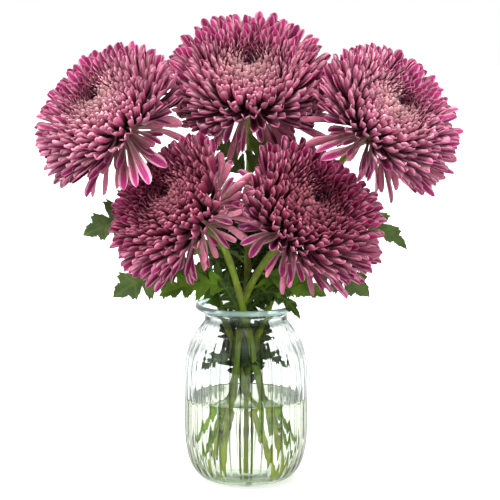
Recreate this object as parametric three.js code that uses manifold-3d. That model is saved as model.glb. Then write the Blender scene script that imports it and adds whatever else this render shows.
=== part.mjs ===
// Five chrysanthemums in a ribbed glass jar of water.
// Millimetres, +Z up. The origin is the centre of the jar's base, and the view's front is -Y.
import * as THREE from "three";
import { mergeVertices } from "three/addons/utils/BufferGeometryUtils.js";
import Module from "manifold-3d";

const wasm = await Module();
wasm.setup();

// ---- driving dimensions -------------------------------------------------------------------

const GAP = 0.3; // air between pieces that touch

const JAR_HEIGHT = 143.5;
const JAR_RADIUS = 49.5; // over the ribs
const JAR_BASE_RADIUS = 31;
const JAR_NECK_RADIUS = 33.3;
const JAR_LIP_RADIUS = 40.5;
const JAR_WALL = 2.5;
const JAR_FLOOR = 6;
const RIB_COUNT = 36;
const RIB_DEPTH = 0.9;
const RIB_LOW = 3; // the ribs run between these two heights
const RIB_HIGH = 122;
const CAVITY_SIDES = 36;
const WATER_LEVEL = 67.5;

const STEM_RADIUS = 3;
const STEM_SIDES = 8;
const STEM_STEPS = 13;
const STEM_HOLE_RADIUS = 3.5;
const NECK_LEVEL = 130; // each stem is straight from its foot to this height
const FOOT_LEVEL = JAR_FLOOR + GAP + 1; // the tilted cut end dips a little below this

const BLOOM_MIDDLE = 20; // height of its middle above the receptacle
const CALYX_TOP = -4 - GAP;
const CALYX_LENGTH = 15;
const CALYX_RADIUS = 9.5;
const STEM_END = -12; // the stem ends inside the calyx

// The ray petals of one bloom run in one spiral from the eye (order 0) outwards (order 1).
const PETALS = 77;
const GOLDEN_ANGLE = THREE.MathUtils.degToRad(137.508);
const ANGLE_SPREAD = 0.12; // random turn of a petal, radians
const TIP_SPREAD = 3; // random place of its tip
const EYE_WIDTH = 5.5; // width of the first petal
const WIDTH_GAIN = 9; // and how much wider the last one is
const PETAL_KEEL = 1.4; // depth of the boat shape under its edges
const PETAL_RIM = 0.5; // how far the edges curl in
const EYE_BULGE = 0.2; // how far a petal bows outwards, as a share of its length
const BULGE_LOSS = 0.16; // less towards the last one
const PETAL_SAG = 10; // how far the last petals bend down under their own weight
const ROOT_RADIUS = 8; // the petals' roots lie on a small dome of this radius
const ROOT_HEIGHT = 10;
const ROOT_START = 8; // degrees from the axis to the first root
const ROOT_RANGE = 96;
const INNER_SECTIONS = [[0, 0.3], [0.82, 1]]; // [share of the length, share of the width]
const OUTER_SECTIONS = [[0, 0.25], [0.6, 0.8], [0.9, 0.85]];
const OUTER_FROM = 0.5;
const HANGING_FROM = 0.85; // the last petals droop on the low side of the bloom
const HANGING_ROOT = 4;
const HANGING_DROP = 32;
const HANGING_TUCK = 11;
const HANGING_BULGE = -0.14;
const PARTING_CLEAR = 1.9; // petals keep this far from the plane that parts two blooms
const PARTING_MARGIN = 7.5; // and start bending at this distance
const PARTING_REACH = 10; // blooms further apart than this need no parting

// Radius and height of the core that the petals stand out of.
const CORE_SIDES = 9;
const CORE_PROFILE = [[0, -4], [9, -4], [20, 4], [27, 16], [26, 27], [15, 35], [0, 37]];

const LEAF_THICKNESS = 0.8;
const LEAF_LEAN = 1.3; // how far the upper face leans outwards for each unit up
const LEAF_FOLD = 0.22; // rise of the blade towards its edges, as a share of its width
const LEAF_WAVE = 6; // ripple of the blade's edges, for a blade as wide as it is long
const LEAF_RIPPLE = 14; // its speed along the leaf, radians

// Radius and height of the petal tips above the receptacle, from the eye to the last ring.
const TIP_PROFILE = [
  [2, 43], [14, 48], [30, 51], [45, 50], [57, 46], [66, 35], [69, 19], [66, 2], [58, -12],
];

// Each flower: where its receptacle sits, which way it faces, and its stem. The stem is straight
// from foot to neck, then bends by two pulls (mm) to come in along the bloom's axis.
const FLOWERS = [
  { at: [-97, 5, 282], facing: [-23, -25, 26], reach: 62, foot: [20, -14], neck: [-18, 8],
    pulls: [70, 52] },
  { at: [3, 38, 303], facing: [0, -23, 36], reach: 68, foot: [0, 24], neck: [1, 20],
    pulls: [60, 50] },
  { at: [99, 5, 281], facing: [27, -25, 23], reach: 62, foot: [-24, 12], neck: [16, 14],
    pulls: [70, 58] },
  { at: [-36, -40, 216], facing: [-28, -22, 25], reach: 64, foot: [27, -8], neck: [0, -17],
    pulls: [30, 24] },
  { at: [35, -38, 208], facing: [22, -24, 29], reach: 66, foot: [-17, -18], neck: [-4, -4],
    pulls: [30, 24] },
];

// Leaves of each stem: share of the stem's length where the stalk leaves it, the blade's tip, the
// arch of the midrib (mm, up), the blade's breadth as a share of the usual one, and whether its
// upper face looks to the front (1) or the back (-1).
const LEAVES = [
  [
    { along: 0.72, tip: [-127, 16, 197], arch: 8, breadth: 0.75, front: 1 },
    { along: 0.56, tip: [-104, -6, 150], arch: 10, breadth: 0.9, front: 1 },
  ],
  [
    { along: 0.72, tip: [35, 26, 243], arch: 4, breadth: 0.8, front: 1 },
    { along: 0.66, tip: [-31, 28, 236], arch: 4, breadth: 0.8, front: 1 },
    { along: 0.60, tip: [22, -4, 204], arch: 2, breadth: 0.7, front: 1 },
    { along: 0.56, tip: [-48, 62, 172], arch: 10, breadth: 0.9, front: -1 },
    { along: 0.50, tip: [42, 66, 160], arch: 10, breadth: 0.9, front: -1 },
  ],
  [
    { along: 0.75, tip: [129, 4, 186], arch: 12, breadth: 0.75, front: 1 },
    { along: 0.58, tip: [97, 2, 150], arch: 10, breadth: 0.9, front: 1 },
  ],
  [
    { along: 0.72, tip: [-68, -34, 155], arch: 7, breadth: 0.8, front: 1 },
    { along: 0.36, tip: [-24, -30, 84], arch: -4, breadth: 0.7, front: 1 },
  ],
  [
    { along: 0.8, tip: [64, -18, 152], arch: 2, breadth: 0.8, front: 1 },
    { along: 0.64, tip: [43, -32, 136], arch: 17, breadth: 0.6, front: 1 },
  ],
];

// Half outline of a leaf: [along the midrib, out from it] as shares of its length. Each lobe lies
// between two notches, and its three points are its teeth.
const LEAF_NOTCHES = [[0.17, 0.025], [0.36, 0.085], [0.585, 0.11], [0.8, 0.085]];
const LEAF_LOBES = [
  [[0.2, 0.13], [0.29, 0.21], [0.35, 0.165]],
  [[0.42, 0.22], [0.52, 0.29], [0.58, 0.23]],
  [[0.65, 0.2], [0.74, 0.21], [0.79, 0.145]],
];
const LEAF_END_TEETH = [[0.88, 0.105], [0.93, 0.055]];
const LEAF_STALK = 0.02; // half width of the stalk where it leaves the stem

const MATERIALS = {
  glass: { color: 0xdfeeea, roughness: 0.05, metalness: 0 },
  water: { color: 0xe4efdc, roughness: 0.02, metalness: 0 },
  green: { color: 0x3f6b33, roughness: 0.6, metalness: 0 },
  petal: { color: 0xa8497f, roughness: 0.65, metalness: 0 },
};

// ---- solids -------------------------------------------------------------------------------

function randomSource(seed) {
  let state = seed;
  return () => {
    state = (state + 0x6d2b79f5) | 0;
    let t = Math.imul(state ^ (state >>> 15), 1 | state);
    t = (t + Math.imul(t ^ (t >>> 7), 61 | t)) ^ t;
    return ((t ^ (t >>> 14)) >>> 0) / 4294967296;
  };
}

function toSolid(geometry) {
  const bare = geometry.clone();
  bare.deleteAttribute("normal");
  bare.deleteAttribute("uv");
  const merged = mergeVertices(bare, 1e-4);
  const mesh = new wasm.Mesh({
    numProp: 3,
    vertProperties: new Float32Array(merged.attributes.position.array),
    triVerts: new Uint32Array(merged.index.array),
  });
  return new wasm.Manifold(mesh);
}

function toGeometry(solid) {
  const mesh = solid.getMesh();
  const geometry = new THREE.BufferGeometry();
  geometry.setAttribute("position", new THREE.BufferAttribute(mesh.vertProperties, 3));
  geometry.setIndex(new THREE.BufferAttribute(mesh.triVerts, 1));
  geometry.computeVertexNormals();
  return geometry;
}

// The joined solids as one body: sealed hollows are filled and loose scraps dropped.
function joined(solids) {
  const bodies = wasm.Manifold.union(solids).simplify(0.02).decompose();
  return bodies.reduce((best, body) => (body.volume() > best.volume() ? body : best));
}

// A closed mesh from points and triangles that wind alike, turned outwards.
function closedGeometry(points, triangles) {
  let volume = 0;
  for (const [a, b, c] of triangles) {
    volume += points[a].dot(points[b].clone().cross(points[c]));
  }
  const outward = volume < 0 ? triangles.map(([a, b, c]) => [a, c, b]) : triangles;
  const geometry = new THREE.BufferGeometry().setFromPoints(points);
  geometry.setIndex(outward.flat());
  return geometry;
}

function latheUp(profile, sides) {
  const points = profile.map(([r, z]) => new THREE.Vector2(r, z));
  return new THREE.LatheGeometry(points, sides).rotateX(Math.PI / 2);
}

function node(name, solid, material) {
  const mesh = new THREE.Mesh(toGeometry(solid), new THREE.MeshStandardMaterial(material));
  mesh.name = name;
  return mesh;
}

// ---- jar and water ------------------------------------------------------------------------

function outerProfile() {
  const body = JAR_RADIUS;
  return [
    [0, 0], [JAR_BASE_RADIUS, 0], [39, 4.5], [46, 16], [body, 36], [body, 86], [48, 101],
    [44, 114.5], [37, 124.5], [JAR_NECK_RADIUS, 130], [34.6, 137], [JAR_LIP_RADIUS, 142],
    [39.4, JAR_HEIGHT], [0, JAR_HEIGHT],
  ];
}

function cavityProfile() {
  const body = JAR_RADIUS - JAR_WALL;
  return [
    [0, JAR_FLOOR], [28, JAR_FLOOR], [37, 9.5], [43, 19], [body, 37], [body, 85],
    [44.6, 104], [36, 121], [JAR_NECK_RADIUS - 2.6, 130], [32.2, 138], [37.4, 145], [0, 145],
  ];
}

function jarSolid() {
  const sides = 2 * RIB_COUNT;
  const outside = latheUp(outerProfile(), sides);
  const place = outside.attributes.position;
  for (let i = 0; i < place.count; i++) {
    const [x, y, z] = [place.getX(i), place.getY(i), place.getZ(i)];
    const spoke = Math.round((Math.atan2(y, x) / (2 * Math.PI)) * sides);
    if (z > RIB_LOW && z < RIB_HIGH && spoke % 2 !== 0) {
      const shrink = 1 - RIB_DEPTH / Math.hypot(x, y);
      place.setXY(i, x * shrink, y * shrink);
    }
  }
  return toSolid(outside).subtract(toSolid(latheUp(cavityProfile(), CAVITY_SIDES)));
}

function waterSolid(stems) {
  const wetted = cavityProfile().filter(([, z]) => z < WATER_LEVEL);
  const inset = wetted.map(([r, z]) => [Math.max(0, r - GAP - 0.05), z + GAP]);
  const side = inset[inset.length - 1][0];
  const water = toSolid(latheUp([...inset, [side, WATER_LEVEL], [0, WATER_LEVEL]], CAVITY_SIDES));
  return stems.reduce((left, stem) => left.subtract(stemHole(stem)), water);
}

function stemHole({ foot, neck }) {
  const line = neck.clone().sub(foot);
  const hole = new THREE.CylinderGeometry(STEM_HOLE_RADIUS, STEM_HOLE_RADIUS, 3 * NECK_LEVEL, 12);
  const turn = new THREE.Quaternion().setFromUnitVectors(
    new THREE.Vector3(0, 1, 0), line.clone().normalize());
  return toSolid(hole.applyQuaternion(turn).translate(foot.x, foot.y, foot.z));
}

// ---- flowers ------------------------------------------------------------------------------

// A bloom's frame: its receptacle, its axis and two directions square to it.
function bloomFrame({ at, facing, reach }) {
  const origin = new THREE.Vector3(...at);
  const axis = new THREE.Vector3(...facing).normalize();
  const side = new THREE.Vector3(0, 0, 1).cross(axis).normalize();
  const middle = origin.clone().addScaledVector(axis, BLOOM_MIDDLE);
  return { origin, axis, side, over: axis.clone().cross(side), middle, reach };
}

// The planes that part a bloom from its neighbours, each with its normal on the bloom's own side.
function partings(frame, frames) {
  const near = frames.filter((other) => {
    const apart = other.middle.distanceTo(frame.middle);
    return other !== frame && apart < frame.reach + other.reach + PARTING_REACH;
  });
  return near.map((other) => {
    const away = frame.middle.clone().sub(other.middle);
    const apart = away.length();
    const normal = away.divideScalar(apart);
    const own = (apart ** 2 + frame.reach ** 2 - other.reach ** 2) / (2 * apart);
    return { normal, level: normal.dot(frame.middle) - own };
  });
}

// Bends a point back from the partings, and says how flat things lie there (1 free, 0 flat).
function bendClear(point, planes) {
  const bent = point.clone();
  const flats = [];
  for (const { normal, level } of planes) {
    const depth = normal.dot(bent) - level;
    const span = PARTING_MARGIN - PARTING_CLEAR;
    const ease = depth < PARTING_MARGIN ? Math.exp((depth - PARTING_MARGIN) / span) : 1;
    if (ease < 1) {
      bent.addScaledVector(normal, PARTING_CLEAR + span * ease - depth);
    }
    flats.push({ normal, ease });
  }
  return { bent, flats };
}

// Points of the tip profile at equal steps of swept area, so the petals cover the bloom evenly.
function tipsByArea(count) {
  const profile = new THREE.SplineCurve(TIP_PROFILE.map(([r, z]) => new THREE.Vector2(r, z)));
  const fine = profile.getPoints(240);
  const swept = [0];
  for (let i = 1; i < fine.length; i++) {
    const step = fine[i].distanceTo(fine[i - 1]);
    swept.push(swept[i - 1] + step * (0.5 * (fine[i].x + fine[i - 1].x) + 6));
  }
  const tips = [];
  for (let k = 0, i = 0; k < count; k++) {
    const share = ((k + 0.5) / count) * swept[swept.length - 1];
    while (swept[i + 1] < share) i++;
    tips.push(fine[i].clone().lerp(fine[i + 1], (share - swept[i]) / (swept[i + 1] - swept[i])));
  }
  return tips;
}

function petalSolid(frame, planes, tip, order, angle, random) {
  const radial = frame.side.clone().multiplyScalar(Math.cos(angle));
  radial.addScaledVector(frame.over, Math.sin(angle));
  const across = frame.axis.clone().cross(radial);
  const lowness = Math.max(0, -radial.z);
  const hangs = order > HANGING_FROM;
  const root = THREE.MathUtils.degToRad(ROOT_START + ROOT_RANGE * order ** 0.8);
  const start = new THREE.Vector2(Math.sin(root), 1 + Math.cos(root)).multiplyScalar(ROOT_RADIUS);
  start.y += ROOT_HEIGHT - ROOT_RADIUS;
  const end = tip.clone();
  end.x += TIP_SPREAD * (random() - 0.5);
  end.y += TIP_SPREAD * (random() - 0.5);
  let bulge = EYE_BULGE - BULGE_LOSS * order;
  if (hangs) {
    start.y = HANGING_ROOT;
    end.y = 2 - HANGING_DROP * lowness * (0.7 + 0.4 * random());
    end.x -= HANGING_TUCK * lowness;
    bulge = HANGING_BULGE;
  }
  const chord = end.clone().sub(start);
  const control = start.clone().lerp(end, 0.5);
  control.add(new THREE.Vector2(chord.y, -chord.x).multiplyScalar(bulge));
  const rib = new THREE.QuadraticBezierCurve(start, control, end);
  const width = (EYE_WIDTH + WIDTH_GAIN * Math.sqrt(order)) * (0.92 + 0.16 * random());
  const sag = PETAL_SAG * order ** 2;

  const sectionAt = (t, share) => {
    const flat = rib.getPoint(t);
    const slope = rib.getTangent(t);
    const centre = frame.origin.clone().addScaledVector(radial, flat.x);
    centre.addScaledVector(frame.axis, flat.y);
    centre.z -= sag * t ** 3;
    const back = radial.clone().multiplyScalar(slope.y).addScaledVector(frame.axis, -slope.x);
    const edge = across.clone();
    const { bent, flats } = bendClear(centre, planes);
    for (const { normal, ease } of flats) {
      edge.addScaledVector(normal, (ease - 1) * edge.dot(normal));
      if (ease < 0.5) {
        const towards = Math.sign(back.dot(normal)) || 1;
        back.lerp(normal.clone().multiplyScalar(towards), 1 - 2 * ease).normalize();
      }
    }
    edge.normalize().multiplyScalar(0.5 * width * share);
    const rim = bent.clone().addScaledVector(back, -PETAL_RIM);
    return [rim.clone().add(edge), rim.clone().sub(edge), bent.addScaledVector(back, PETAL_KEEL)];
  };
  const layout = order < OUTER_FROM ? INNER_SECTIONS : OUTER_SECTIONS;
  const sections = layout.map(([t, share]) => sectionAt(t, share));
  const point = sectionAt(1, 0)[0];
  return toSolid(petalGeometry(sections, point));
}

// A boat-shaped petal: three-sided sections that close in a point.
function petalGeometry(sections, point) {
  const points = [...sections.flat(), point];
  const triangles = [[0, 1, 2]];
  for (let ring = 0; ring < sections.length; ring++) {
    for (let side = 0; side < 3; side++) {
      const a = 3 * ring + side;
      const b = 3 * ring + ((side + 1) % 3);
      if (ring + 1 < sections.length) {
        triangles.push([a, b + 3, b], [a, a + 3, b + 3]);
      } else {
        triangles.push([a, points.length - 1, b]);
      }
    }
  }
  return closedGeometry(points, triangles);
}

function placedOnAxis(geometry, frame) {
  const basis = new THREE.Matrix4().makeBasis(frame.side, frame.over, frame.axis);
  return geometry.applyMatrix4(basis.setPosition(frame.origin));
}

function bloomSolid(frame, planes, seed) {
  const random = randomSource(seed);
  const core = latheUp(CORE_PROFILE, CORE_SIDES);
  const tips = tipsByArea(PETALS);
  const petals = tips.map((tip, k) => {
    const angle = k * GOLDEN_ANGLE + ANGLE_SPREAD * (random() - 0.5);
    return petalSolid(frame, planes, tip, (k + 0.5) / PETALS, angle, random);
  });
  return joined([toSolid(placedOnAxis(core, frame)), ...petals]);
}

// ---- leafy stems --------------------------------------------------------------------------

function stemLine({ foot, neck, pulls }, frame) {
  const low = new THREE.Vector3(...foot, FOOT_LEVEL);
  const high = new THREE.Vector3(...neck, NECK_LEVEL);
  const top = frame.origin.clone().addScaledVector(frame.axis, STEM_END);
  const rise = high.clone().sub(low).normalize();
  const path = new THREE.CurvePath();
  path.add(new THREE.LineCurve3(low, high));
  path.add(new THREE.CubicBezierCurve3(
    high, high.clone().addScaledVector(rise, pulls[0]),
    top.clone().addScaledVector(frame.axis, -pulls[1]), top));
  return { foot: low, neck: high, path };
}

function calyxSolid(frame) {
  const low = CALYX_TOP - CALYX_LENGTH;
  const cup = [
    [0, low], [STEM_RADIUS, low], [0.55 * CALYX_RADIUS, low + 0.5 * CALYX_LENGTH],
    [0.95 * CALYX_RADIUS, CALYX_TOP - 1.5], [CALYX_RADIUS, CALYX_TOP], [0, CALYX_TOP],
  ];
  return toSolid(placedOnAxis(latheUp(cup, 10), frame));
}

function leafSolid(path, { along, tip, arch, breadth, front }) {
  const base = path.getPointAt(along);
  const end = new THREE.Vector3(...tip);
  const length = base.distanceTo(end);
  const control = base.clone().lerp(end, 0.5);
  control.z += 2 * arch;
  const facing = new THREE.Vector3(0, -front * LEAF_LEAN, 1);
  const rib = new THREE.QuadraticBezierCurve3(base, control, end);
  const place = (u, v, lift) => {
    const ahead = rib.getTangent(u);
    const side = ahead.clone().cross(facing).normalize();
    const up = side.clone().cross(ahead);
    const out = v * length * breadth;
    const rise = LEAF_FOLD * Math.abs(out) + LEAF_WAVE * Math.sin(LEAF_RIPPLE * u) * Math.abs(v);
    return rib.getPoint(u).addScaledVector(side, out).addScaledVector(up, rise + lift);
  };
  return toSolid(leafGeometry(place));
}

// A leaf blade: the same triangles on both faces, joined round the edge.
function leafGeometry(place) {
  const ribShares = [0, ...LEAF_NOTCHES.map(([u]) => u)];
  const edge = [[0, LEAF_STALK]];
  const faces = []; // triangles of half a face, as pairs [kind, index]
  LEAF_NOTCHES.forEach((notch, i) => {
    edge.push(notch);
    const here = edge.length - 1;
    if (i === 0) {
      faces.push(["r0", "e0", "e1"], ["r0", "e1", "r1"]);
    }
    const teeth = i < LEAF_LOBES.length ? LEAF_LOBES[i] : LEAF_END_TEETH;
    edge.push(...teeth);
    const [a, b] = [`r${i + 1}`, `r${i + 2}`];
    const e = (k) => `e${here + k}`;
    if (i < LEAF_LOBES.length) {
      faces.push([a, e(0), e(1)], [a, e(1), e(2)], [a, e(2), b], [b, e(2), e(3)], [b, e(3), e(4)]);
    } else {
      faces.push([a, e(0), e(1)], [a, e(1), e(2)], [a, e(2), "tip"]);
    }
  });
  const points = [];
  const index = new Map();
  const vertex = (name, side, face) => {
    const mirrored = name[0] === "e" ? side : 1;
    const key = `${name}:${mirrored}:${face}`;
    if (!index.has(key)) {
      const number = Number(name.slice(1));
      const spots = { r: [ribShares[number], 0], e: edge[number], t: [1, 0] };
      const [u, v] = spots[name[0]];
      index.set(key, points.length);
      points.push(place(u, mirrored * v, (face * LEAF_THICKNESS) / 2));
    }
    return index.get(key);
  };
  const triangles = [];
  for (const side of [1, -1]) {
    for (const corners of faces) {
      const top = corners.map((name) => vertex(name, side, 1));
      const bottom = corners.map((name) => vertex(name, side, -1));
      const turned = side > 0;
      triangles.push(turned ? top : [top[0], top[2], top[1]]);
      triangles.push(turned ? [bottom[0], bottom[2], bottom[1]] : bottom);
    }
    const walk = [...edge.map((_, k) => `e${k}`), "tip"];
    for (let k = 0; k + 1 < walk.length; k++) {
      const [a, b] = [vertex(walk[k], side, 1), vertex(walk[k + 1], side, 1)];
      const [c, d] = [vertex(walk[k], side, -1), vertex(walk[k + 1], side, -1)];
      triangles.push(...(side > 0 ? [[b, a, c], [b, c, d]] : [[a, b, c], [b, d, c]]));
    }
    const [a, c] = [vertex("e0", side, 1), vertex("e0", side, -1)];
    const [r, s] = [vertex("r0", side, 1), vertex("r0", side, -1)];
    triangles.push(...(side > 0 ? [[a, r, c], [r, s, c]] : [[r, a, c], [r, c, s]]));
  }
  return closedGeometry(points, triangles);
}

function leafyStemSolid(stem, frame, leaves) {
  const ring = [];
  for (let k = 0; k < STEM_SIDES; k++) {
    const turn = (2 * Math.PI * k) / STEM_SIDES;
    ring.push(new THREE.Vector2(STEM_RADIUS * Math.cos(turn), STEM_RADIUS * Math.sin(turn)));
  }
  const tube = new THREE.ExtrudeGeometry(new THREE.Shape(ring), {
    steps: STEM_STEPS,
    extrudePath: stem.path,
  });
  return joined([
    toSolid(tube), calyxSolid(frame), ...leaves.map((leaf) => leafSolid(stem.path, leaf)),
  ]);
}

// ---- the whole ----------------------------------------------------------------------------

const frames = FLOWERS.map(bloomFrame);
const stems = FLOWERS.map((flower, i) => stemLine(flower, frames[i]));
const whole = new THREE.Group();
whole.add(node("jar", jarSolid(), MATERIALS.glass));
whole.add(node("water", waterSolid(stems), MATERIALS.water));
frames.forEach((frame, i) => {
  const stem = leafyStemSolid(stems[i], frame, LEAVES[i]);
  const bloom = bloomSolid(frame, partings(frame, frames), 11 + i);
  whole.add(node(`stem_${i + 1}`, stem, MATERIALS.green));
  whole.add(node(`bloom_${i + 1}`, bloom, MATERIALS.petal));
});

export default whole;
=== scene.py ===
import math

import bmesh
import bpy
import numpy as np
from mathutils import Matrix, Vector


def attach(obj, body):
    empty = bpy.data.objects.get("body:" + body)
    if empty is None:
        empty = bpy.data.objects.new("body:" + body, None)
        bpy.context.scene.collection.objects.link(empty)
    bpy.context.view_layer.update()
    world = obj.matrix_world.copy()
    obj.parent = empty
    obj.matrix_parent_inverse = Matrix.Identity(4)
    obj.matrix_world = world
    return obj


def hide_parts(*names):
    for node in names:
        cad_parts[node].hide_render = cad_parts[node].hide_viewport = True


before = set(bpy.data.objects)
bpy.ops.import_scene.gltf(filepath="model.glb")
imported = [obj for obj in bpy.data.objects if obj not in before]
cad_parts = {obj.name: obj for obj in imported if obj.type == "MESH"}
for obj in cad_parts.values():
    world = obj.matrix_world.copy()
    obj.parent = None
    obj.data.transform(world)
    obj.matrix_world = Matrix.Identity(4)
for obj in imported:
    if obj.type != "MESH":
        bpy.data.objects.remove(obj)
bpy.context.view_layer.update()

bl_info = {
    "name": "Chrysanthemums in a Jar",
    "version": (1, 0, 0),
    "blender": (4, 5, 0),
    "location": "3D View > Sidebar > Flowers",
    "description": "Grows five chrysanthemums with their leaves in a ribbed glass jar of water",
    "category": "Add Mesh",
}

# Lengths below are millimetres in the frame's own axes, as in the part's source; MM turns them
# into Blender's metres.
MM = 0.001
BODY = "root"

# ---- plan of the bouquet

# Outside and inside of the jar as radius and height, from the axis outwards and back.
JAR_OUTSIDE = [
    (31, 0), (39, 4.5), (46, 16), (49.5, 36), (49.5, 61), (49.5, 86), (48, 101), (44, 114.5),
    (37, 124.5), (33.3, 130), (33.6, 135), (36.4, 138.2), (39.6, 139.3), (40.7, 141.2),
    (40.1, 143.1), (38.6, 143.7),
]
JAR_INSIDE = [
    (37.2, 143.0), (35.6, 140.8), (32.6, 137.5), (30.8, 130), (36, 121), (44.6, 104), (47, 85),
    (47, 61), (47, 37), (43, 19), (37, 9.5), (28, 6.2),
]
# The jar's hollow foot, from the axis to where its outside starts.
JAR_FOOT = [(0, 1.2), (24, 1.2), (27, 0.8), (29, 0.1)]
JAR_SEGMENTS = 576
# How deep the ribs are at each height, as a share of the usual depth.
RIB_SHARES = [(3, 0), (11, 1.3), (66, 1.3), (66.01, 0.85), (114, 0.85), (124, 0)]
# Height of the jar's floor inside.
FLOOR_LEVEL = 6

# Each flower: its receptacle, the way it faces, its stem's foot and neck, the two pulls that bend
# the stem, how far its petals reach from the middle of the bloom, and 1 if its middle is darker,
# partly a deeper colour of its own and partly painted shade from the blooms above. Upright petals
# whose tips pass a plane are left out; trim gives the plane's x share, z share and level.
FLOWERS = [
    {"at": (-97, 5, 282), "facing": (-20.5, -22.5, 26), "reach": 62, "foot": (20, -14),
     "neck": (-18, 8), "pulls": (70, 52)},
    {"at": (3, 37, 300.5), "facing": (0, -26, 31), "reach": 68, "foot": (0, 24),
     "neck": (1, 20), "pulls": (60, 50)},
    {"at": (99, 5, 281), "facing": (21, -24.5, 24), "reach": 62, "foot": (-24, 12),
     "neck": (16, 14), "pulls": (70, 58)},
    {"at": (-36, -40, 216), "facing": (-24, -22.5, 22.5), "reach": 62, "foot": (27, -8),
     "neck": (0, -17), "pulls": (30, 24), "deeper_shaded_middle": 1, "trim": (0.969, 0.247, 44)},
    {"at": (35, -38, 208), "facing": (18, -25, 25.5), "reach": 64.5, "foot": (-17, -18),
     "neck": (-4, -4), "pulls": (30, 24), "deeper_shaded_middle": 1, "trim": (-0.94, 0.35, 86.6)},
]
# Heights of the stems' feet and of the jar's neck, where a stem ends behind its receptacle, and
# its thickness as a share of the full one at three heights.
FOOT_LEVEL = 7.3
NECK_LEVEL = 130
STEM_END = -12
STEM_TAPER = (FOOT_LEVEL, 80, NECK_LEVEL), (0.82, 0.92, 1.0)

# Leaves of each stem: share of the stem's length where the stalk leaves it, the blade's tip (x, y,
# z), the arch of its midrib, its breadth as a share of the usual one, whether the upper face looks
# to the front (1) or the back (-1), and its green from dark (0) over greyish (0.5) to bright (1):
# partly the leaf's own colour, partly painted shade on the leaves in the middle and painted light
# on those in the jar.
LEAVES = [
    [
        (0.72, -131, 14, 196, 8, 1.0, 1, 0.5), (0.56, -106, -6, 149, 10, 1.1, 1, 0.45),
        (0.34, -37, -2, 88, 3, 1.0, -1, 1.0), (0.44, -44, -14, 157, 9, 0.7, 1, 0.9),
    ],
    [
        (0.72, 35, 26, 243, 4, 0.8, 1, 0.2), (0.66, -31, 28, 236, 4, 0.8, 1, 0.2),
        (0.60, 22, -4, 204, 2, 0.7, 1, 0.1), (0.56, -48, 62, 172, 10, 0.9, -1, 0.2),
        (0.50, 42, 66, 160, 10, 0.9, -1, 0.2), (0.80, -28, 30, 272, 3, 0.9, 1, 0.6),
        (0.80, 24, 32, 286, 3, 0.95, 1, 0.75), (0.58, -30, 30, 206, 2, 0.95, 1, 0.1),
        (0.50, -29, 24, 176, 3, 0.9, 1, 0.2), (0.54, 26, 30, 196, 3, 0.95, 1, 0.1),
        (0.48, 34, 24, 176, 3, 0.9, 1, 0.1), (0.36, -22, 20, 136, 2, 0.7, 1, 0.1),
        (0.34, 22, 22, 133, 2, 0.7, 1, 0.1), (0.26, -22, 28, 120, 2, 0.8, 1, 0.3),
        (0.24, 9, 14, 124, 1, 1.3, 1, 0.4), (0.22, -9, 14, 118, 1, 1.4, 1, 0.4),
        (0.20, 3, 26, 104, 1, 1.3, 1, 0.4), (0.25, 18, 15, 125, 1, 1.1, 1, 0.4),
        (0.25, -18, 15, 127, 1, 1.1, 1, 0.35), (0.38, -8, 14, 86, 1, 1.3, 1, 0.35),
        (0.41, 10, 10, 96, 1, 0.8, 1, 0.4), (0.62, -14, 46, 158, 2, 1.1, 1, 0.1),
        (0.60, 14, 46, 156, 2, 1.1, 1, 0.15), (0.58, -34, 50, 166, 3, 1.1, 1, 0.15),
        (0.58, 36, 50, 164, 3, 1.1, 1, 0.1), (0.68, -4, 52, 186, 2, 1.1, 1, 0.05),
        (0.46, -44, 30, 152, 5, 1.0, 1, 0.1), (0.46, 12, 50, 148, 2, 0.9, 1, 0.1),
        (0.60, -4, 40, 142, 1, 0.9, 1, 0.1), (0.60, -14, 2, 222, 2, 0.9, 1, 0.1),
        (0.62, 8, 0, 228, 2, 0.8, 1, 0.1),
    ],
    [
        (0.75, 129, 4, 186, 12, 0.6, 1, 0.5), (0.58, 99, 2, 148, 10, 1.1, 1, 0.45),
        (0.44, 2, -2, 163, 3, 0.8, 1, 0.1), (0.50, 50, 0, 168, 4, 0.9, 1, 0.15),
        (0.34, 35, 2, 90, 3, 0.85, -1, 1.0),
    ],
    [
        (0.72, -68, -34, 155, 7, 0.8, 1, 0.9), (0.56, -21, -24, 166, 3, 0.8, 1, 0.25),
        (0.84, -36, -10, 184, 4, 0.9, 1, 0.35), (0.30, 27, -12, 34, 0, 0.13, 1, 0.8),
        (0.32, 17, -16, 38, 0, 0.12, 1, 0.65), (0.33, 9, -22, 36, 0, 0.11, 1, 0.9),
        (0.33, 37, -15, 30, 0, 0.13, 1, 0.95), (0.70, -45, -16, 175, 3, 1.0, 1, 0.3),
        (0.26, 33, -5, 18, 0, 0.12, 1, 1.0),
    ],
    [
        (0.80, 64, -18, 152, 2, 0.8, 1, 0.8), (0.64, 43, -32, 136, 17, 0.6, 1, 0.25),
        (0.66, 37, -8, 179, 4, 1.0, 1, 0.1), (0.72, 51, -22, 153, 6, 0.9, 1, 0.95),
        (0.60, 27, -18, 153, 5, 0.9, 1, 0.2), (0.30, -12, -25, 36, 0, 0.13, 1, 0.7),
        (0.28, -30, -8, 18, 0, 0.12, 1, 1.0), (0.25, -19, 0, 18, 0, 0.12, 1, 0.9),
        (0.33, -24, -16, 40, 0, 0.12, 1, 0.8), (0.34, -37, -14, 30, 0, 0.13, 1, 0.95),
        (0.40, 20, -20, 108, 2, 0.7, 1, 0.15),
    ],
]

# Leaves narrower than this are plain lances.
LOBED_BREADTH = 0.55

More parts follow.
